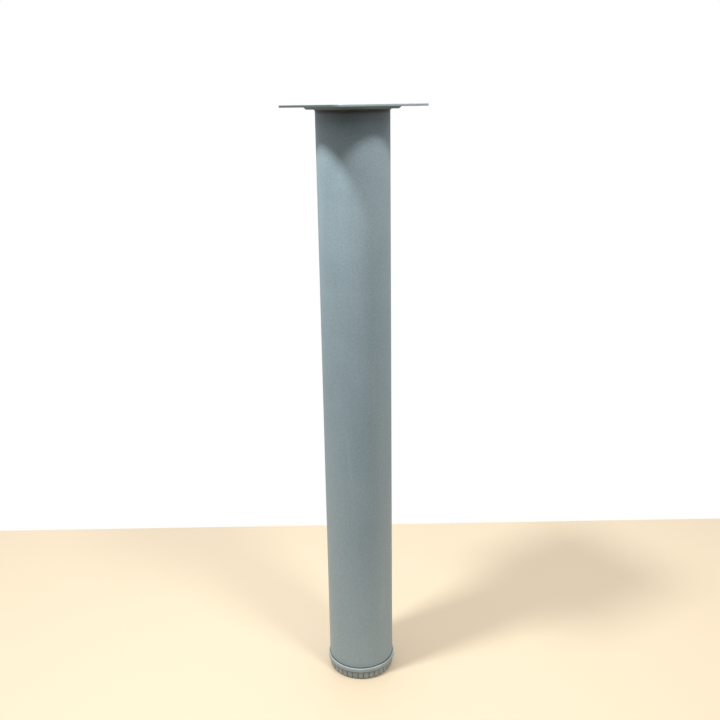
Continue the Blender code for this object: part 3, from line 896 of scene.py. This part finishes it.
def build_floor():
    """Pale table top that ends a little way behind the leg."""
    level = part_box("glide_pad")[0].z - TABLE_GAP
    corners = [(TABLE_HALF_WIDTH, -TABLE_BACK), (TABLE_HALF_WIDTH, TABLE_FRONT),
               (-TABLE_HALF_WIDTH, TABLE_FRONT), (-TABLE_HALF_WIDTH, -TABLE_BACK)]
    bm = bmesh.new()
    upper = [bm.verts.new(toward_camera(left, front, level)) for left, front in corners]
    lower = [bm.verts.new(toward_camera(left, front, level - TABLE_THICKNESS))
             for left, front in corners]
    bm.faces.new(upper)
    bm.faces.new(lower)
    bridge(bm, upper, lower)
    bmesh.ops.recalc_face_normals(bm, faces=bm.faces)
    mesh = bpy.data.meshes.new("floor")
    bm.to_mesh(mesh)
    bm.free()
    floor = bpy.data.objects.new("floor", mesh)
    bpy.context.scene.collection.objects.link(floor)
    material, _, shader, _ = new_material("pale_floor")
    shader.inputs["Base Color"].default_value = (*TABLE_COLOUR, 1)
    shader.inputs["Roughness"].default_value = 0.6
    mesh.materials.append(material)


build_floor()


def add_lamp(name, place, size, power, colour):
    """Round soft lamp that points at the leg."""
    light = bpy.data.lights.new(name, "AREA")
    light.shape = "DISK"
    light.size = size
    light.energy = power
    light.color = colour
    obj = bpy.data.objects.new(name, light)
    bpy.context.scene.collection.objects.link(obj)
    obj.location = toward_camera(*place)
    obj.rotation_euler = (Vector(LAMP_TARGET) - obj.location).to_track_quat("-Z", "Y").to_euler()
    return obj


def build_world():
    """White surroundings that light the leg mostly from overhead and from behind."""
    world = bpy.data.worlds.new("studio")
    world.use_nodes = True
    tree = world.node_tree
    nodes, links = tree.nodes, tree.links
    coords = nodes.new("ShaderNodeTexCoord")
    overhead = nodes.new("ShaderNodeSeparateXYZ")
    links.new(coords.outputs["Generated"], overhead.inputs["Vector"])
    height = add_range(tree, overhead.outputs["Z"], HORIZON_LIGHT, SKY_LIGHT, *SKY_RANGE)
    behind = nodes.new("ShaderNodeVectorMath")
    behind.operation = "DOT_PRODUCT"
    behind.inputs[1].default_value = toward_camera(0, -1, 0)
    links.new(coords.outputs["Generated"], behind.inputs[0])
    wall = add_range(tree, behind.outputs["Value"], 0.0, WALL_LIGHT, *WALL_RANGE)
    total = nodes.new("ShaderNodeMath")
    links.new(height, total.inputs[0])
    links.new(wall, total.inputs[1])
    felt = nodes.new("ShaderNodeBackground")
    felt.inputs["Color"].default_value = (*SKY_COLOUR, 1)
    links.new(total.outputs["Value"], felt.inputs["Strength"])
    seen = nodes["Background"]
    seen.inputs["Color"].default_value = (*WHITE, 1)
    seen.inputs["Strength"].default_value = 1.0
    path = nodes.new("ShaderNodeLightPath")
    mix = nodes.new("ShaderNodeMixShader")
    links.new(path.outputs["Is Camera Ray"], mix.inputs["Fac"])
    links.new(felt.outputs["Background"], mix.inputs[1])
    links.new(seen.outputs["Background"], mix.inputs[2])
    links.new(mix.outputs["Shader"], nodes["World Output"].inputs["Surface"])
    bpy.context.scene.world = world


def build_light():
    """Two lamps overhead; the key is kept off the plate, whose upper face it would burn out."""
    key = add_lamp("key", KEY_PLACE, KEY_SIZE, KEY_POWER, KEY_COLOUR)
    add_lamp("fill", FILL_PLACE, FILL_SIZE, FILL_POWER, FILL_COLOUR)
    unlit = bpy.data.collections.new("kept_from_key")
    unlit.objects.link(PLATE)
    unlit.collection_objects[0].light_linking.link_state = "EXCLUDE"
    key.light_linking.receiver_collection = unlit


build_world()
build_light()
bpy.context.scene.view_settings.view_transform = "Standard"


def build_camera():
    """Camera at the height of the plate, looking a little down."""
    data = bpy.data.cameras.new("camera")
    data.lens = CAMERA_LENS
    data.sensor_width = 36
    camera = bpy.data.objects.new("camera", data)
    bpy.context.scene.collection.objects.link(camera)
    camera.location = CAMERA_PLACE
    camera.rotation_mode = "QUATERNION"
    aim = (CAMERA_AIM - CAMERA_PLACE).to_track_quat("-Z", "Y")
    camera.rotation_quaternion = aim @ Quaternion((0, 0, 1), CAMERA_ROLL)
    bpy.context.scene.camera = camera


build_camera()
